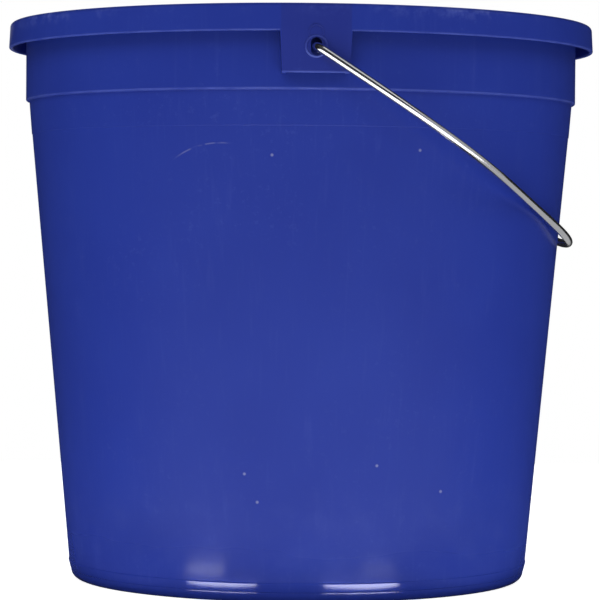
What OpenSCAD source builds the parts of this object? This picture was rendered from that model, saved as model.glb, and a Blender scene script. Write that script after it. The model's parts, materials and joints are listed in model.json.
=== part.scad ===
// Feed bucket: a one-piece moulded bucket with two ear boxes, and a round-wire bail that hooks into them.
// Frame: +Z up, origin at the centre of the foot ring's plane, ears on the Y axis, bail hanging on the +X side.

/* [Bucket] */
// Overall height
bucket_h = 274; // [255:1:300]
// Outside diameter of the rim's skirt at its lower edge
rim_d = 290; // [284:1:292]
// Outside diameter of the collar below the rim
collar_d = 273; // [271:0.5:274]
// Outside diameter of the wall just above the heel
base_d = 227.5; // [215:0.5:240]
// Thickness of the wall
wall_t = 2.2; // [1.8:0.1:2.4]
// Thickness of the floor
floor_t = 2.6; // [2:0.1:3.2]

/* [Rim] */
// Height of the skirt that hangs from the rim
skirt_h = 12.6; // [10:0.1:15]
// Thickness of the skirt
skirt_t = 2; // [1.6:0.1:2.2]
// Distance from the rim's top to the collar's lower edge
collar_h = 38.2; // [36:0.1:44]
// Height of the slightly thicker band under the collar
band_h = 16.3; // [8:0.1:24]

/* [Ears] */
// Width of an ear at the skirt's lower edge
ear_w = 32.5; // [31:0.1:40]
// Distance by which each side of an ear leans in towards the ear's lower edge
ear_lean = 1; // [0:0.1:2]
// Distance that an ear reaches below the skirt's lower edge
ear_drop = 18.8; // [18:0.1:22]
// Width of the slot that holds the wire
slot_w = 5; // [5:0.1:6]
// Height of the slot that holds the wire
slot_h = 8; // [7:0.1:9]

/* [Bail] */
// Diameter of the wire
wire_d = 4; // [3:0.1:4]
// Distance from the pivot axis to the end of each straight leg
leg_l = 28.6; // [27:0.1:34]
// Radius of the bail's two shoulders and of its crown
arch_r = 100; // [90:1:110]
// Angle through which each shoulder turns
shoulder_angle = 57; // [54:1:60]
// Distance from the pivot axis to the end of each hook
hook_l = 12; // [9:0.5:12]
// Angle of the hanging bail below the horizontal
hang_angle = 33; // [-30:1:35]

/* [Hidden] */

$fn = 96;
corner_steps = 6;

// Radii of the shell
rim_r = rim_d / 2;
collar_r = collar_d / 2;
base_r = base_d / 2;
draft = 0.7;                       // how much narrower the skirt is at its top
ledge = 1.7;                       // width of the collar's lower ledge
band_step = 0.25;                  // how far the band stands proud of the wall
foot_r = base_r - 1;               // corner of the foot ring, before rounding
recess_r = foot_r - 8.2;           // recess inside the foot ring

// Heights of the shell
skirt_z = bucket_h - skirt_h;
flange_t = 2.4;
flange_z = bucket_h - flange_t;
collar_z = bucket_h - collar_h;
band_z = collar_z - band_h;
heel_top_z = 9.3;
heel_low_z = 5;
recess_z = 3;
floor_z = recess_z + floor_t;

// Ears
ear_z = skirt_z - ear_drop;
rib_t = 2;
rib_root = 1;                      // depth to which the ribs run into the collar's wall
pivot_z = ear_z + 11.8;            // height of the pivot axis and of the slot's middle
slot_r = slot_w / 2;
slot_half_rise = (slot_h - slot_w) / 2;
lip_r = 5.2;                       // outside radius of the low ring round the slot
lip_w = 1;
lip_h = 0.4;
boss_r = 3.6;                      // outside radius of the faint ring above the slot
boss_w = 0.7;
boss_h = 0.25;
boss_z = pivot_z + 6.4;

// Underside of the floor
ring_r = [38, 72];
ring_w = 1.6;
ring_h = 1.2;
gate_r = 4;
gate_h = 1;

// Bail, in its own plane: [distance from the pivot axis, place along the pivot axis]
wire_r = wire_d / 2;
leg_y = rim_r + wire_r + 1.2;      // centre line of a leg where it leaves its ear
outer_bend = 3.4;
inner_bend = 3;
hook_y = collar_r + wire_r + 0.6;  // centre line of a hook inside its ear
crown_angle = 90 - shoulder_angle; // half of the angle through which the crown turns
slant_l = (leg_y - arch_r) / sin(shoulder_angle);    // straight between a shoulder and the crown
bail_reach = leg_l + arch_r + slant_l * cos(shoulder_angle);
lap = 1;                           // length by which a slant runs into the arcs at its ends
lap_thinner = 0.02;                // taken off a slant's wire radius, so that the laps are clean

// Path helpers: a path is a list of [x, y, corner radius]
function point(corner) = [corner[0], corner[1]];
function unit(v) = v / norm(v);
function arc_points(centre, start, end) =
    let (a = atan2(start[1] - centre[1], start[0] - centre[0]),
         b = atan2(end[1] - centre[1], end[0] - centre[0]),
         turn = (b - a + 540) % 360 - 180,
         r = norm(start - centre))
    [for (i = [0:corner_steps]) let (t = a + turn * i / corner_steps) centre + r * [cos(t), sin(t)]];
function rounded_corner(before, here, after, r) =
    let (u = unit(before - here),
         w = unit(after - here),
         half = acos(u * w) / 2,
         reach = r / tan(half))
    arc_points(here + unit(u + w) * r / sin(half), here + u * reach, here + w * reach);
function rounded(path) =
    let (n = len(path))
    [for (i = [0:n - 1])
        each path[i][2] == 0
            ? [point(path[i])]
            : rounded_corner(point(path[(i + n - 1) % n]), point(path[i]), point(path[(i + 1) % n]), path[i][2])];

// Section of the shell, from the middle of the underside round the outside and back along the inside
shell_section = [
    [0, recess_z, 0],
    [recess_r, recess_z, 1.2],
    [recess_r, 0, 0.8],
    [foot_r, 0, 4.3],
    [foot_r, heel_low_z - 0.1, 0.15],
    [foot_r + 0.3, heel_low_z + 0.1, 0.2],
    [base_r + 0.3, heel_top_z - 0.2, 0.4],
    [base_r, heel_top_z + 0.2, 0.2],
    [collar_r - ledge - 1.3 - band_step, band_z - 0.2, 0.2],
    [collar_r - ledge - 1.3, band_z + 0.1, 0.2],
    [collar_r - ledge, collar_z - 0.2, 0.5],
    [collar_r, collar_z, 0.8],
    [collar_r, flange_z, 1.2],
    [rim_r - draft - skirt_t, flange_z, 1],
    [rim_r - skirt_t, skirt_z, 0.7],
    [rim_r, skirt_z, 0.7],
    [rim_r - draft, bucket_h, 2.2],
    [collar_r - wall_t, bucket_h, 1],
    [collar_r - wall_t, collar_z + 1.8, 0.7],
    [collar_r - ledge - wall_t, collar_z + 1.4, 0.7],
    [base_r - wall_t - 0.4, floor_z, 9],
    [0, floor_z, 0],
];

// A ring of rectangular section
module ring(r_in, r_out, z_low, z_high) {
    rotate_extrude()
        translate([r_in, z_low])
        square([r_out - r_in, z_high - z_low]);
}

// A slab through the front of the bucket, from its outline seen from the front
module front_slab(outline) {
    translate([0, -rim_r + 18, 0])
        rotate([90, 0, 0])
        linear_extrude(20)
        polygon(outline);
}

// Half the width of an ear at a height
function ear_half(z) = ear_w / 2 - ear_lean * (skirt_z - z) / ear_drop;

// The tab that carries on the skirt downwards, with a softened lower edge
module ear_tab() {
    tab_section = [
        [rim_r - skirt_t, ear_z, 0.6],
        [rim_r, ear_z, 0.8],
        [rim_r, skirt_z + 1, 0],
        [rim_r - skirt_t, skirt_z + 1, 0],
    ];
    intersection() {
        rotate_extrude()
            polygon(rounded(tab_section));
        front_slab([
            [-ear_half(ear_z), ear_z],
            [ear_half(ear_z), ear_z],
            [ear_half(bucket_h), bucket_h],
            [-ear_half(bucket_h), bucket_h],
        ]);
    }
}

// The two ribs that tie the tab to the collar and to the rim's flange
module ear_ribs() {
    for (side = [-1, 1])
        intersection() {
            ring(collar_r - rib_root, rim_r - 1, ear_z, flange_z + 1);
            front_slab([
                [side * ear_half(ear_z), ear_z],
                [side * ear_half(bucket_h), bucket_h],
                [side * (ear_half(bucket_h) - rib_t), bucket_h],
                [side * (ear_half(ear_z) - rib_t), ear_z],
            ]);
        }
}

// A round bar along Y, through the front of the bucket
module front_bar(r, z) {
    translate([0, -rim_r + skirt_t + 4, z])
        rotate([90, 0, 0])
        cylinder(r = r, h = skirt_t + 12);
}

// The upright slot, as a bar through the front of the bucket
module slot_bar() {
    for (side = [-1, 1])
        front_bar(slot_r, pivot_z + side * slot_half_rise);
    translate([-slot_r, -rim_r - 8, pivot_z - slot_half_rise])
        cube([slot_w, skirt_t + 12, 2 * slot_half_rise]);
}

// A low round mark that stands proud of an ear's face
module round_mark(r, width, proud, z) {
    intersection() {
        ring(rim_r - 1, rim_r + proud, z - r - 1, z + r + 1);
        difference() {
            front_bar(r, z);
            front_bar(r - width, z);
        }
    }
}

// The marks round the slot and above it
module ear_marks() {
    round_mark(lip_r, lip_w, lip_h, pivot_z);
    round_mark(boss_r, boss_w, boss_h, boss_z);
}

module ear() {
    ear_tab();
    ear_ribs();
    ear_marks();
}

// Concentric ribs and the gate mark under the floor
module floor_rings() {
    for (r = ring_r)
        ring(r - ring_w / 2, r + ring_w / 2, recess_z - ring_h, recess_z + 1);
    translate([0, 0, recess_z - gate_h])
        cylinder(r = gate_r, h = gate_h + 1);
}

module bucket_shell() {
    color([0.16, 0.22, 0.56])
        difference() {
            union() {
                rotate_extrude()
                    polygon(rounded(shell_section));
                floor_rings();
                for (turn = [0, 180])
                    rotate([0, 0, turn])
                        ear();
            }
            for (turn = [0, 180])
                rotate([0, 0, turn])
                    slot_bar();
        }
}

// Wire bent about a centre in the bail's plane, from one angle to another
module bent_wire(centre, r, from, to) {
    translate([centre[0], centre[1], 0])
        rotate([0, 0, from])
        rotate_extrude(angle = to - from)
        translate([r, 0])
        circle(r = wire_r);
}

// Straight wire that starts at a place in the bail's plane and runs at an angle
module straight_wire(start, angle, length, r = wire_r) {
    translate([start[0], start[1], 0])
        rotate([0, 0, angle])
        rotate([0, 90, 0])
        cylinder(r = r, h = length);
}

// One half of the bail, on the -Y side: hook, passage through the slot, leg, shoulder and slant
module bail_half() {
    through_y = leg_y - outer_bend;
    inside_y = hook_y + inner_bend;
    along = [cos(shoulder_angle), sin(shoulder_angle)];
    slant_start = [leg_l + arch_r * along[1], -leg_y + arch_r * (1 - along[0])] - lap * along;
    straight_wire([inner_bend, -hook_y], 0, hook_l - inner_bend);
    bent_wire([inner_bend, -inside_y], inner_bend, 90, 180);
    straight_wire([0, -through_y], 90, through_y - inside_y);
    bent_wire([outer_bend, -through_y], outer_bend, 180, 270);
    straight_wire([outer_bend, -leg_y], 0, leg_l - outer_bend);
    bent_wire([leg_l, arch_r - leg_y], arch_r, -90, -crown_angle);
    straight_wire(slant_start, shoulder_angle, slant_l + 2 * lap, wire_r - lap_thinner);
}

// The arc that joins the two halves
module crown() {
    bent_wire([bail_reach - arch_r, 0], arch_r, -crown_angle, crown_angle);
}

module bail_wire() {
    color([0.75, 0.76, 0.78])
        translate([0, 0, pivot_z])
        rotate([0, hang_angle, 0]) {
            bail_half();
            mirror([0, 1, 0])
                bail_half();
            crown();
        }
}

bucket_shell();
bail_wire();
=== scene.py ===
"""Feed bucket: the moulded shell and the wire bail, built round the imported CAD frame.

Outlines are worked out in millimetres. Meshes, materials, lights and the camera are in metres.
"""
import json
import math

import bmesh
import bpy
from mathutils import Matrix, Vector


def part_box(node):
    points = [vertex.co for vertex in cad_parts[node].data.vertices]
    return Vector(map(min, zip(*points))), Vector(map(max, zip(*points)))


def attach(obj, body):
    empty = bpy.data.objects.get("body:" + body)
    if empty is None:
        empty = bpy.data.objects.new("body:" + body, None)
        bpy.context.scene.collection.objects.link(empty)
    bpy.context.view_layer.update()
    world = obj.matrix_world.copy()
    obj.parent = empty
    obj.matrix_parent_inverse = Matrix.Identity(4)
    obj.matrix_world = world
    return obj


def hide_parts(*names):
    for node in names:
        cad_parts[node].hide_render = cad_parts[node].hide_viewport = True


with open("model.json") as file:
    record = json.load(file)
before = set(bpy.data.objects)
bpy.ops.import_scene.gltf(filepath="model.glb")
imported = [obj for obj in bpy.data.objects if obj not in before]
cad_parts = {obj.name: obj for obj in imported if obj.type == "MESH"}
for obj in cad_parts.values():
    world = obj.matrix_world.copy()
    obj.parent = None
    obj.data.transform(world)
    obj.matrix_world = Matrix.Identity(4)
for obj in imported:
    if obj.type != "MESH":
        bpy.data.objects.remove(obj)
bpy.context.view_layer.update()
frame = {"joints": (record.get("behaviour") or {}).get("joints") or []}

MM = 0.001
_, SHELL_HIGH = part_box("bucket_shell")
PIVOT = Vector(frame["joints"][0]["pos_m"])

# Shell, in millimetres. Heights count from the floor that the bucket stands on.
HEIGHT = SHELL_HIGH.z / MM
RIM_R = 145.0
COLLAR_R = 136.5
BASE_R = 113.75
WALL_T = 2.2
DRAFT = 0.7                    # how much narrower the skirt is at its top
SKIRT_T = 2.0
SKIRT_Z = HEIGHT - 12.6
FLANGE_Z = HEIGHT - 2.4
COLLAR_Z = HEIGHT - 38.2
BAND_Z = COLLAR_Z - 16.3
LEDGE = 1.7
HEEL_TOP_Z = 9.3
HEEL_LOW_Z = 5.0
RECESS_Z = 3.0
FLOOR_Z = 5.6
FOOT_R = BASE_R - 1.0
RECESS_R = FOOT_R - 8.2
EAR_Z = SKIRT_Z - 18.8
EAR_HALF = 16.25               # half an ear's width at the skirt's lower edge
EAR_LEAN = 1.0                 # how much each side leans in towards the ear's lower edge
RIB_T = 2.0
RING_R = (38.0, 72.0)          # stiffening rings under the floor
RING_H = 1.2
RING_HALF_W = 0.8
GATE_R = 4.0                   # gate mark under the floor
GATE_H = 1.0
GATE_FACE_R = 2.8              # radius of the single flat face in the middle of the gate mark

# Slot and raised marks of an ear, in millimetres
PIVOT_Z = PIVOT.z / MM
SLOT_R = 2.5
SLOT_HALF_RISE = 1.5           # from the slot's middle to the centre of each round end
LIP_R = 5.2
LIP_W = 1.1
LIP_H = 0.4
BOSS_R = 3.6
BOSS_W = 0.8
BOSS_H = 0.25
BOSS_Z = PIVOT_Z + 6.4
MOUTH_FLARE = 0.45             # how much wider the slot is where it meets the lip's crest
ROOT_DEPTH = 0.7               # how deep the raised marks are sunk into the ear

# Raised marks of an ear: name, height of the middle, inner and outer radius, how far it stands out
EAR_MARKS = (
    ("lip", PIVOT_Z, LIP_R - LIP_W, LIP_R, LIP_H),
    ("boss", BOSS_Z, BOSS_R - BOSS_W, BOSS_R, BOSS_H),
)

# Mesh fineness
CORNER_STEPS = 6               # segments of a rounded corner
ROW_STEP = 7.0                 # longest row on a straight stretch, in millimetres
COLUMNS_BETWEEN_EARS = 200
COLUMNS_ON_EAR = 14
SLOT_STEPS = 20                # segments of each round end of a slot
MARK_STEPS = 56                # segments round a raised mark
CREST_STEPS = 8                # segments across a raised mark's rounded crest
EAR_ROUND = 0.55               # rounding of an ear's side and lower edges, in millimetres
SHARP_ANGLE = 32               # degrees; edges of the shell sharper than this stay crisp
SAME = 0.005                   # points closer than this are one, in millimetres


# ---------------------------------------------------------------- outlines

def rounded_corner(before, here, after, radius):
    """Points of the arc that rounds the corner at `here`."""
    u = (before - here).normalized()
    w = (after - here).normalized()
    half = u.angle(w) / 2
    centre = here + (u + w).normalized() * (radius / math.sin(half))
    reach = radius / math.tan(half)
    start = here + u * reach - centre
    end = here + w * reach - centre
    a = math.atan2(start.y, start.x)
    turn = (math.atan2(end.y, end.x) - a + 3 * math.pi) % (2 * math.pi) - math.pi
    angles = [a + turn * i / CORNER_STEPS for i in range(CORNER_STEPS + 1)]
    return [centre + Vector((math.cos(t), math.sin(t))) * radius for t in angles]


def rounded(path):
    """An open path of (x, y, corner radius) as points, rounded, with its long stretches divided."""
    points = []
    for i, (x, y, radius) in enumerate(path):
        here = Vector((x, y))
        if radius and 0 < i < len(path) - 1:
            points += rounded_corner(Vector(path[i - 1][:2]), here, Vector(path[i + 1][:2]), radius)
        else:
            points.append(here)
    fine = [points[0]]
    for a, b in zip(points, points[1:]):
        steps = max(1, math.ceil((b - a).length / ROW_STEP))
        fine += [a.lerp(b, k / steps) for k in range(1, steps + 1)]
    return fine


def inside_outline():
    """From the skirt's outside over the rim and down the inside to the middle of the floor."""
    return rounded([
        skirt_join(),
        (RIM_R - DRAFT, HEIGHT, 2.2),
        (COLLAR_R - WALL_T, HEIGHT, 1.0),
        (COLLAR_R - WALL_T, COLLAR_Z + 1.8, 0.7),
        (COLLAR_R - LEDGE - WALL_T, COLLAR_Z + 1.4, 0.7),
        (BASE_R - WALL_T - 0.4, FLOOR_Z, 9.0),
        (GATE_R, FLOOR_Z, 0),
    ])


def underside():
    """From the middle of the underside outwards, over the gate mark and the rings."""
    low = RECESS_Z - GATE_H
    path = [(GATE_FACE_R, low, 0), (GATE_R, low, 0.5), (GATE_R, RECESS_Z, 0.3)]
    for r in RING_R:
        inner = r - RING_HALF_W
        outer = r + RING_HALF_W
        low = RECESS_Z - RING_H
        path += [(inner, RECESS_Z, 0.4), (inner, low, 0.4), (outer, low, 0.4), (outer, RECESS_Z, 0.4)]
    return path


def outside_outline():
    """From the middle of the underside over foot, heel, wall, band and collar to an ear's lower edge."""
    return rounded(underside() + [
        (RECESS_R, RECESS_Z, 1.2),
        (RECESS_R, 0, 0.8),
        (FOOT_R, 0, 4.3),
        (FOOT_R, HEEL_LOW_Z - 0.1, 0.15),
        (FOOT_R + 0.3, HEEL_LOW_Z + 0.1, 0.2),
        (BASE_R + 0.3, HEEL_TOP_Z - 0.2, 0.4),
        (BASE_R, HEEL_TOP_Z + 0.2, 0.2),
        (COLLAR_R - LEDGE - 1.55, BAND_Z - 0.2, 0.2),
        (COLLAR_R - LEDGE - 1.3, BAND_Z + 0.1, 0.2),
        (COLLAR_R - LEDGE, COLLAR_Z - 0.2, 0.5),
        (COLLAR_R, COLLAR_Z, 0.8),
        (COLLAR_R, EAR_Z, 0),
    ])


def skirt_join():
    """The place on the skirt's outside above which all sections are the same."""
    rise = 1.3
    return (RIM_R - DRAFT * rise / (HEIGHT - SKIRT_Z), SKIRT_Z + rise, 0)


def gap_start():
    """The path of the gap behind the skirt, up the collar and out along the flange."""
    return [(COLLAR_R, EAR_Z, 0), (COLLAR_R, FLANGE_Z, 1.2), (RIM_R - DRAFT - SKIRT_T, FLANGE_Z, 1.0)]


def skirt_outline():
    """Up the collar, along the flange and round the short skirt."""
    return rounded(gap_start() + [(RIM_R - SKIRT_T, SKIRT_Z, 0.7), (RIM_R, SKIRT_Z, 0.7), skirt_join()])


def tab_outline():
    """The same where an ear's tab carries the skirt further down."""
    return rounded(gap_start() + [
        (RIM_R - SKIRT_T, SKIRT_Z, 0),
        (RIM_R - SKIRT_T, EAR_Z, 0.6),
        (RIM_R, EAR_Z, 0.8),
        (RIM_R, SKIRT_Z, 0),
        skirt_join(),
    ])


def rib_outline():
    """Through one of an ear's side ribs, where the gap is closed: straight out, then up the tab's outside."""
    tab = tab_outline()
    first = next(i for i, p in enumerate(tab) if p.x > COLLAR_R + 1 and abs(p.y - EAR_Z) < SAME)
    return [Vector((COLLAR_R, EAR_Z))] + tab[first:]


# ---------------------------------------------------------------- the shell's mesh

def ear_half(z):
    """Half the width of an ear at a height."""
    return EAR_HALF - EAR_LEAN * (SKIRT_Z - z) / (SKIRT_Z - EAR_Z)


def ear_columns(ear):
    """The columns on one ear, as (angle, section that follows, ear, place across the ear from -1 to 1)."""
    inner = 1 - RIB_T / EAR_HALF
    places = [-1.0] + [inner * (2 * i / COLUMNS_ON_EAR - 1) for i in range(COLUMNS_ON_EAR + 1)]
    names = ["rib"] + ["tab"] * COLUMNS_ON_EAR + ["rib"]
    middle = ear * math.pi / 2
    return [(middle + math.asin(across * EAR_HALF / RIM_R), name, ear, across)
            for across, name in zip(places, names)]


def shell_columns():
    """All columns round the bucket, anticlockwise from the front ear, which is ear -1."""
    edge = math.asin(EAR_HALF / RIM_R)
    span = math.pi - 2 * edge
    columns = []
    for ear in (-1, 1):
        columns += ear_columns(ear)
        start = ear * math.pi / 2 + edge
        columns.append((start, "skirt", ear, 1.0))
        for i in range(1, COLUMNS_BETWEEN_EARS):
            columns.append((start + span * i / COLUMNS_BETWEEN_EARS, "skirt", 0, 0.0))
    return columns


def place(column, point):
    """A point of an outline, turned to its column, in metres. An ear's columns are flat, as its sides are."""
    angle, _, ear, across = column
    if ear and point.x > COLLAR_R - SAME and point.y > EAR_Z - SAME:
        aside = across * ear_half(point.y)
        out = math.sqrt(point.x ** 2 - aside ** 2)
        return Vector((-ear * aside, ear * out, point.y)) * MM
    return Vector((point.x * math.cos(angle), point.x * math.sin(angle), point.y)) * MM


def shell_mesh():
    """The whole moulding as one closed mesh of quads, with planar faces where the section changes."""
    sections = {"skirt": skirt_outline(), "tab": tab_outline(), "rib": rib_outline()}
    always = [inside_outline(), outside_outline()]
    columns = shell_columns()
    bm = bmesh.new()
    made = {}

    def vert(column, point):
        key = (column, round(point.x, 3), round(point.y, 3))
        if key not in made:
            made[key] = bm.verts.new(place(columns[column], point))
        return made[key]

    count = len(columns)
    for i, (_, name, _, _) in enumerate(columns):
        j = (i + 1) % count
        for path in always + [sections[name]]:
            for a, b in zip(path, path[1:]):
                bm.faces.new([vert(i, a), vert(j, a), vert(j, b), vert(i, b)])
        before = columns[i - 1][1]
        if before != name:
            join_sections(bm, sections[before], sections[name], lambda p, c=i: vert(c, p))
    for path, end in ((always[0], -1), (always[1], 0)):
        bm.faces.new([vert(i, path[end]) for i in range(count)])
    bmesh.ops.recalc_face_normals(bm, faces=bm.faces)
    return bm


def join_sections(bm, one, other, vert):
    """The planar face between two sections at one column, from where they part to where they meet again."""
    meet = next(i for i in range(1, len(one)) if any((one[i] - p).length < SAME for p in other[1:]))
    end = next(i for i, p in enumerate(other) if (one[meet] - p).length < SAME)
    loop = one[:meet + 1] + other[1:end][::-1]
    bm.faces.new([vert(p) for p in loop])


def soften_ears(bm):
    """Rounds the side and lower edges of both ears."""
    chosen = [e for e in bm.edges if all(on_ear_side(v.co / MM) for v in e.verts)]
    bmesh.ops.bevel(
        bm, geom=chosen, offset=EAR_ROUND * MM, segments=4, profile=0.5, affect="EDGES", clamp_overlap=True
    )


def on_ear_side(co):
    """True for a place on the outline of an ear's side face."""
    beside = abs(abs(co.x) - ear_half(co.z)) < 0.01
    return beside and math.hypot(co.x, co.y) > COLLAR_R + 0.05 and EAR_Z - 0.01 < co.z < SKIRT_Z + 0.01


def new_object(name, bm):
    """A mesh object in the scene, made from a bmesh, which is freed."""
    mesh = bpy.data.meshes.new(name)
    bm.to_mesh(mesh)
    bm.free()
    obj = bpy.data.objects.new(name, mesh)
    bpy.context.scene.collection.objects.link(obj)
    return obj


def join_rings(bm, ring, other):
    """A closed band of quads between two rings with the same number of vertices."""
    count = len(ring)
    for i in range(count):
        j = (i + 1) % count
        bm.faces.new([ring[i], ring[j], other[j], other[i]])


# ---------------------------------------------------------------- slot and marks of an ear

def stadium(radius, half_rise):
    """Points of an upright slot's outline in (x, z), round its middle."""
    angles = [math.pi * i / SLOT_STEPS for i in range(SLOT_STEPS + 1)]
    top = [Vector((radius * math.cos(t), radius * math.sin(t) + half_rise)) for t in angles]
    return top + [-p for p in top]


def lofted(name, loops):
    """A closed solid through loops of points, with flat ends."""
    bm = bmesh.new()
    rings = [[bm.verts.new(p * MM) for p in loop] for loop in loops]
    for a, b in zip(rings, rings[1:]):
        join_rings(bm, a, b)
    bm.faces.new(rings[0])
    bm.faces.new(rings[-1])
    bmesh.ops.recalc_face_normals(bm, faces=bm.faces)
    return new_object(name, bm)


def slot_cutter():
    """The slot as a solid, with a flared mouth on the outside of the ear."""
    face = -RIM_R
    stations = [
        (face - 2.0, 2 * MOUTH_FLARE),
        (face - LIP_H, MOUTH_FLARE),
        (face + 0.1, 0.0),
        (face + SKIRT_T + 2.0, 0.0),
    ]
    loops = []
    for y, flare in stations:
        outline = stadium(SLOT_R + flare, SLOT_HALF_RISE)
        loops.append([Vector((p.x, y, p.y + PIVOT_Z)) for p in outline])
    return lofted("slot_cutter", loops)


def mark_section(inner, outer, proud):
    """The section of a raised mark as (radius, y): sunk straight sides and a rounded crest."""
    face = -RIM_R
    root = face + ROOT_DEPTH
    shoulder = face + 0.02
    middle = (inner + outer) / 2
    half = (outer - inner) / 2
    section = [(outer, root), (outer, shoulder)]
    for i in range(1, CREST_STEPS):
        t = math.pi * i / CREST_STEPS
        section.append((middle + half * math.cos(t), face - proud * math.sin(t)))
    return section + [(inner, shoulder), (inner, root)]


def ring_solid(name, centre_z, inner, outer, proud):
    """A low ring with a rounded crest that stands out of the front ear's face."""
    section = mark_section(inner, outer, proud)
    bm = bmesh.new()
    rings = []
    for k in range(MARK_STEPS):
        t = 2 * math.pi * k / MARK_STEPS
        points = [Vector((r * math.cos(t), y, centre_z + r * math.sin(t))) for r, y in section]
        rings.append([bm.verts.new(p * MM) for p in points])
    for k in range(MARK_STEPS):
        join_rings(bm, rings[k], rings[(k + 1) % MARK_STEPS])
    bmesh.ops.recalc_face_normals(bm, faces=bm.faces)
    return new_object(name, bm)


def combine(target, tool, operation):
    """Applies a boolean to the target's mesh and removes the tool."""
    modifier = target.modifiers.new("combine", "BOOLEAN")
    modifier.operation = operation
    modifier.solver = "EXACT"
    modifier.object = tool
    apply_modifiers(target)
    bpy.data.objects.remove(tool)


def apply_modifiers(obj):
    """Replaces the object's mesh by its evaluated one."""
    graph = bpy.context.evaluated_depsgraph_get()
    mesh = bpy.data.meshes.new_from_object(obj.evaluated_get(graph))
    obj.modifiers.clear()
    old = obj.data
    obj.data = mesh
    bpy.data.meshes.remove(old)


def mark_ears(shell):
    """Gives both ears their raised rings and their slots."""
    for turn in (0, math.pi):
        to_ear = Matrix.Rotation(turn, 4, "Z")
        for mark in EAR_MARKS:
            ring = ring_solid(*mark)
            ring.data.transform(to_ear)
            combine(shell, ring, "UNION")
        cutter = slot_cutter()
        cutter.data.transform(to_ear)
        combine(shell, cutter, "DIFFERENCE")


def shade(obj, sharp_angle):
    """Smooth shading that keeps edges sharper than the angle, in degrees, crisp and flat faces flat."""
    for polygon in obj.data.polygons:
        polygon.use_smooth = True
    obj.data.set_sharp_from_angle(angle=math.radians(sharp_angle))
    weighted = obj.modifiers.new("weighted normals", "WEIGHTED_NORMAL")
    weighted.keep_sharp = True
    weighted.weight = 60


def make_shell():
    """The whole moulding, with its ears rounded, marked and slotted."""
    bm = shell_mesh()
    soften_ears(bm)
    shell = new_object("bucket_moulding", bm)
    mark_ears(shell)
    shade(shell, SHARP_ANGLE)
    return shell


# ---------------------------------------------------------------- the bail

WIRE_R = 2.0
LEG_Y = 148.2                  # a leg's centre line where it leaves its ear
LEG_L = 28.6                   # from the pivot axis to the end of a straight leg
HOOK_Y = 139.1                 # a hook's centre line inside its ear
HOOK_L = 12.0
OUTER_BEND = 3.4
INNER_BEND = 3.0
ARCH_R = 100.0                 # of both shoulders and of the crown
SHOULDER = 57.0                # degrees through which a shoulder turns
HANG = math.radians(33.0)      # how far below level the bail hangs at rest
WIRE_SIDES = 32
WIRE_STEP = 2.5                # longest piece along the arch
BEND_STEP = 0.5                # longest piece along a tight bend
CUT_ROUND = 0.35               # rounding of the wire's cut ends
WIRE_SHARP_ANGLE = 50


def arc(centre, radius, start, end, step):
    """Points along an arc in the bail's plane, angles in degrees, a step apart in millimetres at most."""
    count = max(2, math.ceil(abs(math.radians(end - start)) * radius / step))
    angles = [math.radians(start + (end - start) * i / count) for i in range(count + 1)]
    return [Vector((centre[0] + radius * math.cos(t), centre[1] + radius * math.sin(t))) for t in angles]


def straight(start, end, step):
    """Points between two places, without the places themselves."""
    count = max(2, math.ceil((end - start).length / step))
    return [start.lerp(end, i / count) for i in range(1, count)]


def bail_line():
    """The wire's centre line from hook to hook, as (distance from the pivot axis, place along that axis)."""
    slant = (LEG_Y - ARCH_R) / math.sin(math.radians(SHOULDER))
    reach = LEG_L + ARCH_R + slant * math.cos(math.radians(SHOULDER))
    hook = [Vector((HOOK_L, -HOOK_Y))]
    inner = arc((INNER_BEND, -HOOK_Y - INNER_BEND), INNER_BEND, 90, 180, BEND_STEP)
    outer = arc((OUTER_BEND, OUTER_BEND - LEG_Y), OUTER_BEND, 180, 270, BEND_STEP)
    shoulder = arc((LEG_L, ARCH_R - LEG_Y), ARCH_R, -90, SHOULDER - 90, WIRE_STEP)
    crown = arc((reach - ARCH_R, 0), ARCH_R, SHOULDER - 90, 90 - SHOULDER, WIRE_STEP)
    half = hook + straight(hook[0], inner[0], WIRE_STEP) + inner + outer
    half += straight(outer[-1], shoulder[0], WIRE_STEP) + shoulder
    half += straight(shoulder[-1], crown[0], WIRE_STEP)
    return half + crown + [Vector((p.x, -p.y)) for p in reversed(half)]


def wire_stations():
    """(place, direction, radius) of every ring of the wire, with its cut ends slightly rounded."""
    line = bail_line()
    count = len(line)
    ways = [(line[min(i + 1, count - 1)] - line[max(i - 1, 0)]).normalized() for i in range(count)]
    stations = [(p, way, WIRE_R) for p, way in zip(line, ways)]
    stations[0] = (line[0] + ways[0] * CUT_ROUND, ways[0], WIRE_R)
    stations[-1] = (line[-1] - ways[-1] * CUT_ROUND, ways[-1], WIRE_R)
    first = (line[0], ways[0], WIRE_R - CUT_ROUND)
    last = (line[-1], ways[-1], WIRE_R - CUT_ROUND)
    return [first] + stations + [last]


def make_bail():
    """A swept round wire, with a UV map that runs along it (u, in metres) and round it (v)."""
    bm = bmesh.new()
    stations = wire_stations()
    rings = [wire_ring(bm, *station) for station in stations]
    uv = bm.loops.layers.uv.new("along_wire")
    gone = 0.0
    for k in range(len(rings) - 1):
        step = (stations[k + 1][0] - stations[k][0]).length * MM
        for i in range(WIRE_SIDES):
            j = (i + 1) % WIRE_SIDES
            face = bm.faces.new([rings[k][i], rings[k][j], rings[k + 1][j], rings[k + 1][i]])
            corners = ((gone, i), (gone, i + 1), (gone + step, i + 1), (gone + step, i))
            for loop, (u, v) in zip(face.loops, corners):
                loop[uv].uv = (u, v / WIRE_SIDES)
        gone += step
    bm.faces.new(rings[0])
    bm.faces.new(rings[-1])
    bmesh.ops.recalc_face_normals(bm, faces=bm.faces)
    bail = new_object("bail", bm)
    bail.data.transform(Matrix.Translation(PIVOT) @ Matrix.Rotation(HANG, 4, "Y"))
    shade(bail, WIRE_SHARP_ANGLE)
    return bail


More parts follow.
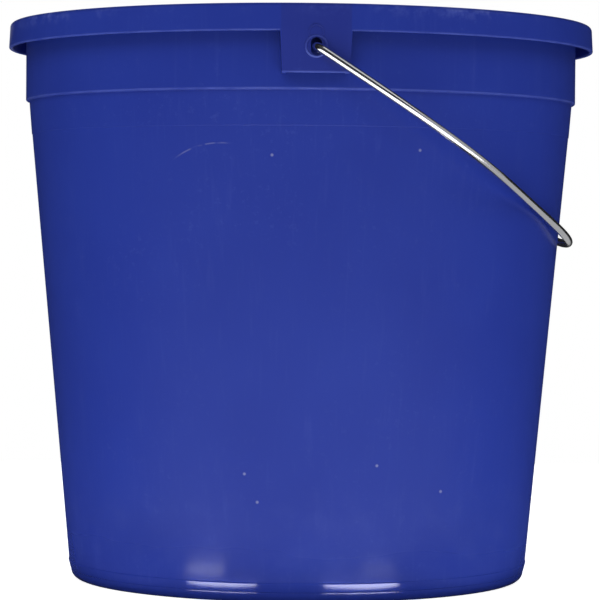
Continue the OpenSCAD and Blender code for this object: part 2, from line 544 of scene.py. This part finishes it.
def wire_ring(bm, centre, way, radius):
    """One ring of the wire's surface, square to the wire's direction."""
    side = Vector((-way.y, way.x))
    ring = []
    for k in range(WIRE_SIDES):
        t = 2 * math.pi * k / WIRE_SIDES
        flat = centre + side * (radius * math.cos(t))
        ring.append(bm.verts.new(Vector((flat.x, flat.y, radius * math.sin(t))) * MM))
    return ring


# ---------------------------------------------------------------- materials

class Nodes:
    """Small helper that adds and links the shader nodes of one material."""

    def __init__(self, name):
        self.material = bpy.data.materials.new(name)
        self.material.use_nodes = True
        self.tree = self.material.node_tree
        self.shader = self.tree.nodes["Principled BSDF"]

    def add(self, kind, **settings):
        """A new node with these settings."""
        node = self.tree.nodes.new(kind)
        for key, value in settings.items():
            setattr(node, key, value)
        return node

    def put(self, value, socket):
        """Links an output to the socket, or sets the socket to a plain value."""
        if isinstance(value, bpy.types.NodeSocket):
            self.tree.links.new(value, socket)
        else:
            socket.default_value = value

    def math(self, operation, a, b=0.0):
        """The result of a Math node."""
        node = self.add("ShaderNodeMath", operation=operation)
        self.put(a, node.inputs[0])
        self.put(b, node.inputs[1])
        return node.outputs[0]

    def product(self, *values):
        """All values multiplied together."""
        result = values[0]
        for value in values[1:]:
            result = self.math("MULTIPLY", result, value)
        return result

    def scaled(self, place, scale):
        """A place with each axis multiplied by its own factor."""
        node = self.add("ShaderNodeVectorMath", operation="MULTIPLY")
        self.put(place, node.inputs[0])
        node.inputs[1].default_value = scale
        return node.outputs[0]

    def noise(self, place, scale, detail, roughness=0.55):
        """Fractal noise at a place."""
        node = self.add("ShaderNodeTexNoise")
        self.put(place, node.inputs["Vector"])
        node.inputs["Scale"].default_value = scale
        node.inputs["Detail"].default_value = detail
        node.inputs["Roughness"].default_value = roughness
        return node.outputs["Fac"]

    def distance(self, place, centre):
        """How far a place is from a fixed point."""
        node = self.add("ShaderNodeVectorMath", operation="DISTANCE")
        self.put(place, node.inputs[0])
        self.put(centre, node.inputs[1])
        return node.outputs["Value"]

    def axes(self, place):
        """A place's x, y and z."""
        node = self.add("ShaderNodeSeparateXYZ")
        self.put(place, node.inputs[0])
        return node.outputs

    def between(self, value, low, high, to_low=0.0, to_high=1.0):
        """The value as a share of the way from low to high, mapped to a new range and held inside it."""
        node = self.add("ShaderNodeMapRange")
        self.put(value, node.inputs["Value"])
        node.inputs["From Min"].default_value = low
        node.inputs["From Max"].default_value = high
        node.inputs["To Min"].default_value = to_low
        node.inputs["To Max"].default_value = to_high
        return node.outputs["Result"]

    def band(self, value, middle, half, soft):
        """1 where the value is within half of the middle, and 0 from soft further out."""
        away = self.math("ABSOLUTE", self.math("SUBTRACT", value, middle))
        return self.between(away, half, half + soft, 1.0, 0.0)

    def mix(self, factor, a, b):
        """A colour between a and b."""
        node = self.add("ShaderNodeMix", data_type="RGBA")
        self.put(factor, node.inputs["Factor"])
        self.put(a, node.inputs["A"])
        self.put(b, node.inputs["B"])
        return node.outputs["Result"]

    def bump(self, height, strength, distance, normal=None):
        """The surface's normal, tilted by a height and laid on another normal where one is given."""
        node = self.add("ShaderNodeBump")
        node.inputs["Strength"].default_value = strength
        node.inputs["Distance"].default_value = distance
        self.put(height, node.inputs["Height"])
        if normal is not None:
            self.put(normal, node.inputs["Normal"])
        return node.outputs["Normal"]


BLUE_DEEP = (0.0148, 0.0320, 0.266, 1)
BLUE = (0.0160, 0.0365, 0.292, 1)
# painted shade: the darker blue of the ears' faces
BLUE_EAR_SHADE = (0.019, 0.027, 0.200, 1)      # where two walls lie behind one another
# lighter blue, for real wear and also for the painted highlights along the lower edges
BLUE_WEAR_AND_HIGHLIGHT = (0.085, 0.120, 0.440, 1)
# pale colour of the specks, the scratch and the rim's ends; at the ends it is partly a painted highlight
PALE_WEAR_AND_HIGHLIGHT = (0.235, 0.245, 0.430, 1)

PLASTIC_SPECULAR = 0.3
HEEL_ROUGHNESS = (0.22, 0.26)               # least and most, where the plastic is smoothest
WALL_EXTRA_ROUGHNESS = 0.09                 # added above the heel
WORN_EXTRA_ROUGHNESS = 0.18                 # added where the rim is worn

# Pale ends of the rim, part wear and part painted grazing highlight, in metres: middle, distance up to which
# it is fully pale, distance where it ends
WORN_AND_LIT_ENDS = (
    ((-0.1455, 0, 0.2700), 0.0045, 0.0120),
    ((0.1455, 0, 0.2725), 0.0035, 0.0090),
)

# Pale specks on the front of the wall, as (x, z) in metres
SPECKS = ((-0.019, 0.206), (0.049, 0.209), (-0.024, 0.047), (-0.030, 0.060), (0.062, 0.051), (0.031, 0.064))
SPECK_R = 0.0004
SPECK_SOFT_R = 0.0009

# The curved scratch: centre of its arc and radius, in metres
SCRATCH_CENTRE = (-0.0425, 0, 0.178)
SCRATCH_R = 0.0335


class Places:
    """Where a point of the shell lies, as shader values that all the marks on the plastic share."""

    def __init__(self, n):
        self.point = n.add("ShaderNodeTexCoord").outputs["Object"]
        self.x, self.y, self.z = n.axes(self.point)
        self.radius = n.distance(n.scaled(self.point, (1, 1, 0)), (0, 0, 0))
        # 1 outside the collar, which is on the skirt and the ears
        self.outside = n.between(self.radius, (COLLAR_R + 1) * MM, (COLLAR_R + 2) * MM)


def blue_plastic():
    """Moulded plastic: faint clouds, painted shade on the ears' faces, drag marks up the wall, painted
    highlights on the lower edges, a scuffed rim with pale ends that are partly painted highlight, and a few
    specks.
    """
    n = Nodes("blue_plastic")
    at = Places(n)
    cloud = n.between(n.noise(at.point, 14.0, 3.0), 0.3, 0.7)
    rim = rim_wear(n, at)
    ends = worn_and_lit_ends(n, at)

    colour = n.mix(cloud, BLUE_DEEP, BLUE)
    # painted shade on the ears' faces
    colour = n.mix(painted_ear_shade(n, at), colour, BLUE_EAR_SHADE)
    colour = n.mix(wall_wear(n, at), colour, BLUE_WEAR_AND_HIGHLIGHT)
    # painted highlights along the lower edges and the slots' lips
    colour = n.mix(painted_edge_highlights(n, at), colour, BLUE_WEAR_AND_HIGHLIGHT)
    colour = n.mix(rim, colour, BLUE_WEAR_AND_HIGHLIGHT)
    # pale ends of the rim: partly wear, partly a painted highlight
    colour = n.mix(ends, colour, PALE_WEAR_AND_HIGHLIGHT)
    colour = n.mix(specks_and_scratch(n, at), colour, PALE_WEAR_AND_HIGHLIGHT)
    n.put(colour, n.shader.inputs["Base Color"])

    smooth, dull = HEEL_ROUGHNESS
    clouded = n.math("ADD", n.product(cloud, dull - smooth), smooth)
    above_heel = n.between(at.z, 0.016, 0.034)
    rough = n.math("ADD", clouded, n.product(above_heel, WALL_EXTRA_ROUGHNESS))
    rough = n.math("ADD", rough, n.product(n.math("ADD", ends, rim), WORN_EXTRA_ROUGHNESS))
    n.put(rough, n.shader.inputs["Roughness"])
    n.shader.inputs["Specular IOR Level"].default_value = PLASTIC_SPECULAR
    peel = n.bump(n.noise(at.point, 700.0, 2.0), 0.12, 0.0002)
    waves = n.bump(n.noise(at.point, 30.0, 2.0), 0.10, 0.002, peel)
    n.put(waves, n.shader.inputs["Normal"])
    return n.material


def painted_ear_shade(n, at):
    """Painted shade: the ears' faces, coloured deeper as if the shaded wall behind them showed through."""
    across = n.band(at.x, 0, 15.6 * MM, 0.6 * MM)
    above = n.between(at.z, EAR_Z * MM, (EAR_Z + 1) * MM)
    return n.product(at.outside, across, above, 0.55)


def wall_wear(n, at):
    """Drag marks up the wall, fine specks in patches and on the second band, faint scuffs near the heel."""
    streaks = n.noise(n.scaled(at.point, (420, 420, 9)), 1.0, 3.0, 0.6)
    drag = n.between(streaks, 0.56, 0.80, 0.0, 0.09)
    speckle = n.between(n.noise(at.point, 330.0, 3.0, 0.7), 0.58, 0.72, 0.0, 0.15)
    patches = n.between(n.noise(at.point, 22.0, 4.0, 0.6), 0.42, 0.62)
    band_low = n.between(at.z, BAND_Z * MM, (BAND_Z + 1) * MM)
    band_high = n.between(at.z, 0.232, 0.236, 1.0, 0.0)
    where = n.math("MAXIMUM", patches, n.product(band_low, band_high))
    mottle = n.between(n.noise(at.point, 85.0, 4.0, 0.6), 0.48, 0.68)
    near_heel = n.product(n.band(at.z, 0.028, 0.014, 0.012), mottle, 0.06)
    scuffs = n.math("ADD", near_heel, n.product(speckle, where))
    return n.math("ADD", drag, scuffs)


def painted_edge_line(n, at, height):
    """A thin line at a height in millimetres, for a painted highlight along a downward-facing lower edge."""
    return n.band(at.z, (height + 0.2) * MM, 0.3 * MM, 0.5 * MM)


def painted_edge_highlights(n, at):
    """Painted highlights along the downward-facing lower edges of the skirt, the ears, the collar and the
    slots' lips, made uneven by noise.
    """
    patchy = n.between(n.noise(at.point, 90.0, 3.0), 0.3, 0.6, 0.35, 1.0)
    aside = n.math("ABSOLUTE", at.x)
    beside_ears = n.between(aside, (EAR_HALF - 0.2) * MM, (EAR_HALF + 0.2) * MM)
    on_collar = n.between(at.radius, (COLLAR_R - LEDGE - 0.2) * MM, (COLLAR_R - 0.6) * MM)
    skirt = n.product(at.outside, beside_ears, painted_edge_line(n, at, SKIRT_Z))
    ears = n.product(at.outside, painted_edge_line(n, at, EAR_Z))
    collar = n.product(on_collar, painted_edge_line(n, at, COLLAR_Z))
    lines = n.product(n.math("ADD", n.math("ADD", skirt, ears), collar), patchy, 0.45)
    return n.math("ADD", lines, painted_lip_highlights(n, at))


def painted_lip_highlights(n, at):
    """A painted highlight along the crest of the ring round each slot, strongest on its lower half, which
    faces down.
    """
    from_pivot = n.distance(n.scaled(at.point, (1, 0, 1)), (0, 0, PIVOT.z))
    crest = n.band(from_pivot, (LIP_R - 0.4) * MM, 0.25 * MM, 0.3 * MM)
    low = n.between(at.z, (PIVOT_Z - 3.2) * MM, (PIVOT_Z - 0.5) * MM, 1.0, 0.25)
    return n.product(at.outside, crest, low, 0.8)


def rim_wear(n, at):
    """Mottled scuffs along the upper part of the skirt."""
    high = n.between(at.z, (HEIGHT - 6.5) * MM, (HEIGHT - 2.0) * MM)
    mottle = n.between(n.noise(at.point, 240.0, 4.0, 0.7), 0.47, 0.66)
    reach = n.between(n.noise(at.point, 11.0, 2.0), 0.40, 0.60)
    return n.product(high, at.outside, mottle, reach, 0.62)


def worn_and_lit_ends(n, at):
    """The two places on the rim, a quarter turn from the ears, that are pale: partly scraped wear and partly
    a painted highlight where the rim turns away from the front.
    """
    uneven = n.between(n.noise(at.point, 170.0, 5.0, 0.7), 0.3, 0.62, 0.35, 1.0)
    stretched = n.scaled(at.point, (1, 0.35, 1))        # so that the wear runs on along the rim
    wear_and_sheen = 0.0
    for middle, full, none in WORN_AND_LIT_ENDS:
        wear_and_sheen = n.math("ADD", wear_and_sheen, n.between(n.distance(stretched, middle), full, none, 1.0, 0.0))
    return n.product(wear_and_sheen, uneven)


def specks_and_scratch(n, at):
    """A few pale specks on the front of the wall and one curved scratch."""
    flat = n.scaled(at.point, (1, 0, 1))
    front = n.between(at.y, -0.02, 0.0, 1.0, 0.0)
    marks = 0.0
    for across, height in SPECKS:
        away = n.distance(flat, (across, 0, height))
        marks = n.math("ADD", marks, n.between(away, SPECK_R, SPECK_SOFT_R, 0.6, 0.0))
    line = n.band(n.distance(flat, SCRATCH_CENTRE), SCRATCH_R, 0.00015, 0.0003)
    above = n.between(at.z, 0.203, 0.207)
    from_left = n.between(at.x, -0.065, -0.059)
    to_right = n.between(at.x, -0.043, -0.035, 1.0, 0.0)
    broken = n.between(n.noise(at.point, 160.0, 2.0), 0.45, 0.55)
    scratch = n.product(line, above, from_left, to_right, broken, 0.3)
    return n.product(n.math("ADD", marks, scratch), front)


STEEL_DARK = (0.62, 0.63, 0.66, 1)
STEEL_LIGHT = (0.82, 0.82, 0.85, 1)


def bright_wire():
    """Bright drawn steel wire with fine lines along it."""
    n = Nodes("bright_wire")
    along = n.add("ShaderNodeUVMap", uv_map="along_wire").outputs["UV"]
    lines = n.noise(n.scaled(along, (60, 40, 1)), 1.0, 3.0, 0.6)
    n.put(n.mix(lines, STEEL_DARK, STEEL_LIGHT), n.shader.inputs["Base Color"])
    n.shader.inputs["Metallic"].default_value = 1.0
    n.put(n.between(lines, 0.3, 0.7, 0.12, 0.22), n.shader.inputs["Roughness"])
    n.put(n.bump(lines, 0.25, 0.00005), n.shader.inputs["Normal"])
    return n.material


def pale_floor():
    """A white floor that glows for the camera alone, so that it looks overexposed."""
    n = Nodes("pale_floor")
    n.shader.inputs["Base Color"].default_value = (0.9, 0.9, 0.9, 1)
    n.shader.inputs["Roughness"].default_value = 0.9
    n.shader.inputs["Specular IOR Level"].default_value = 0.0
    n.shader.inputs["Emission Color"].default_value = (1, 1, 1, 1)
    seen = n.add("ShaderNodeLightPath").outputs["Is Camera Ray"]
    n.put(n.product(seen, FLOOR_GLOW), n.shader.inputs["Emission Strength"])
    return n.material


# ---------------------------------------------------------------- stage, light and camera

CAMERA_AWAY = 1.406            # from the bucket's axis
CAMERA_Z = 0.1624
CAMERA_TURN = math.radians(-2.74)
AIM = Vector((0.0005, 0, 0.1381))
ROLL = math.radians(0.45)
LENS = 168.7
SENSOR_WIDTH = 36.0

FLOOR_HALF = 0.75
FLOOR_GLOW = 0.85
AMBIENT = 0.30                 # soft light from all sides
SEEN_IN_GLOSS = 0.015          # how bright the dark studio is in reflections


def make_camera():
    """A long lens a little to the left of the front ear's axis, slightly rolled."""
    data = bpy.data.cameras.new("camera")
    data.lens = LENS
    data.sensor_width = SENSOR_WIDTH
    camera = bpy.data.objects.new("camera", data)
    bpy.context.scene.collection.objects.link(camera)
    across = math.sin(CAMERA_TURN) * CAMERA_AWAY
    back = math.cos(CAMERA_TURN) * CAMERA_AWAY
    where = Vector((across, -back, CAMERA_Z))
    turn = (AIM - where).to_track_quat("-Z", "Y").to_matrix().to_4x4()
    camera.matrix_world = Matrix.Translation(where) @ turn @ Matrix.Rotation(ROLL, 4, "Z")
    bpy.context.scene.camera = camera


def make_floor():
    """A plain pale floor, which the glossy surfaces don't mirror."""
    bm = bmesh.new()
    bmesh.ops.create_grid(bm, x_segments=2, y_segments=2, size=FLOOR_HALF)
    floor = new_object("floor", bm)
    floor.data.materials.append(pale_floor())
    floor.visible_glossy = False


def area_light(name, where, target, size, radiance, only=None):
    """A soft light of a given brightness that the camera doesn't see. It can fall on one collection only."""
    data = bpy.data.lights.new(name, "AREA")
    data.shape = "RECTANGLE"
    data.size, data.size_y = size
    data.energy = radiance * math.pi * size[0] * size[1]
    lamp = bpy.data.objects.new(name, data)
    bpy.context.scene.collection.objects.link(lamp)
    lamp.location = where
    lamp.rotation_euler = (Vector(target) - Vector(where)).to_track_quat("-Z", "Y").to_euler()
    lamp.visible_camera = False
    if only:
        lamp.light_linking.receiver_collection = only
    return lamp


def floor_light(name, place, z, turn, size, radiance, only=None):
    """An area light that lies just above the floor, faces upwards and is turned in plan, in degrees."""
    x, y = place
    lamp = area_light(name, (x, y, z), (x, y, 1), size, radiance, only)
    lamp.rotation_euler = (math.pi, 0, math.radians(turn))
    return lamp


def receiver(obj):
    """A collection with one object in it, for lights that fall on that object alone."""
    group = bpy.data.collections.new(obj.name + "_lights")
    group.objects.link(obj)
    return group


def make_world():
    """White behind the object, dark in reflections, and a weak even light on everything."""
    world = bpy.data.worlds.new("studio")
    bpy.context.scene.world = world
    world.use_nodes = True
    tree = world.node_tree
    back = tree.nodes["Background"]
    path = tree.nodes.new("ShaderNodeLightPath")
    gloss = tree.nodes.new("ShaderNodeMix")
    gloss.data_type = "RGBA"
    gloss.inputs["A"].default_value = (AMBIENT, AMBIENT, AMBIENT, 1)
    gloss.inputs["B"].default_value = (SEEN_IN_GLOSS, SEEN_IN_GLOSS, SEEN_IN_GLOSS, 1)
    tree.links.new(path.outputs["Is Glossy Ray"], gloss.inputs["Factor"])
    seen = tree.nodes.new("ShaderNodeMix")
    seen.data_type = "RGBA"
    seen.inputs["B"].default_value = (1, 1, 1, 1)
    tree.links.new(path.outputs["Is Camera Ray"], seen.inputs["Factor"])
    tree.links.new(gloss.outputs["Result"], seen.inputs["A"])
    tree.links.new(seen.outputs["Result"], back.inputs["Color"])


# Lights that hang round the object: name, place, aim, size, radiance
AIR_LIGHTS = (
    ("key", (-0.35, -1.9, 1.5), (0, 0, 0.15), (1.5, 1.0), 2.2),
    ("high_left", (-1.3, -0.5, 1.3), (0, 0, 0.2), (1.0, 1.0), 2.2),
    ("high_right", (1.3, -0.5, 1.3), (0, 0, 0.2), (1.0, 1.0), 2.2),
    ("back", (0.2, 1.9, 1.4), (0, 0, 0.15), (1.2, 1.0), 2.4),
)

# Light thrown up by the floor: name, middle, height, turn in degrees, size, radiance
FLOOR_LIGHTS = (
    ("floor_bounce", (0.0, -0.56), 0.002, 0, (1.5, 0.87), 1.0),
    ("back_bounce", (0.0, 0.56), 0.002, 0, (1.0, 0.80), 0.8),
    ("bounce_front", (0.0, -0.2125), 0.0022, 0, (0.60, 0.175), 0.4),
    ("bounce_left", (-0.159, -0.045), 0.0022, 0, (0.082, 0.21), 1.25),
    ("bounce_right", (0.159, -0.045), 0.0022, 0, (0.082, 0.21), 1.25),
    ("bounce_corner_left", (-0.0895, -0.0895), 0.0022, -45, (0.10, 0.017), 1.25),
    ("bounce_corner_right", (0.0895, -0.0895), 0.0022, 45, (0.10, 0.017), 1.25),
)

# Bright spots on the floor that show in the glossy heel: the same columns
HEEL_SPOTS = (
    ("heel_line_left", (-0.0475, -0.1148), 0.0025, -22.5, (0.040, 0.008), 22.0),
    ("heel_line_right", (0.0300, -0.1197), 0.0025, 14.5, (0.042, 0.008), 24.0),
    ("heel_glow_left", (-0.080, -0.132), 0.0025, -30.0, (0.032, 0.016), 8.0),
    ("heel_glow_right", (0.059, -0.143), 0.0025, 22.0, (0.028, 0.014), 3.0),
)

# Bright panels that only the wire reflects: name, place, aim, size, radiance
WIRE_PANELS = (
    ("wire_key", (-0.35, -1.9, 1.5), (0, 0, 0.15), (1.5, 1.0), 2.2),
    ("wire_floor_front", (0, -0.62, 0.003), (0, -0.62, 1), (1.3, 0.85), 2.0),
    ("wire_floor_right", (0.75, -0.1, 0.003), (0.75, -0.1, 1), (1.2, 1.4), 0.45),
    ("wire_high_right", (0.85, -0.85, 1.27), (0.1, -0.1, 0.2), (0.9, 0.9), 0.7),
    ("wire_side_right", (1.1, -0.3, 0.45), (0.1, 0, 0.2), (1.6, 0.9), 0.4),
)


def soft_lights():
    """Even light from all sides and from the floor, without reflections of its own."""
    lamps = [area_light(*row) for row in AIR_LIGHTS]
    lamps += [floor_light(*row) for row in FLOOR_LIGHTS]
    for lamp in lamps:
        lamp.visible_glossy = False


def heel_spots(shell):
    """The small bright reflections in the heel and just above it."""
    on_shell = receiver(shell)
    for row in HEEL_SPOTS:
        floor_light(*row, on_shell).visible_diffuse = False


def wire_panels(bail):
    """The panels that give the wire its light and dark lines."""
    on_bail = receiver(bail)
    for row in WIRE_PANELS:
        area_light(*row, on_bail)


# ---------------------------------------------------------------- put together

make_camera()
make_floor()

shell = make_shell()
shell.data.materials.clear()
shell.data.materials.append(blue_plastic())
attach(shell, "bucket")
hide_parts("bucket_shell")

bail = make_bail()
bail.data.materials.append(bright_wire())
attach(bail, "bail")
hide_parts("bail_wire")

make_world()
soft_lights()
heel_spots(shell)
wire_panels(bail)
bpy.context.scene.view_settings.view_transform = "Standard"
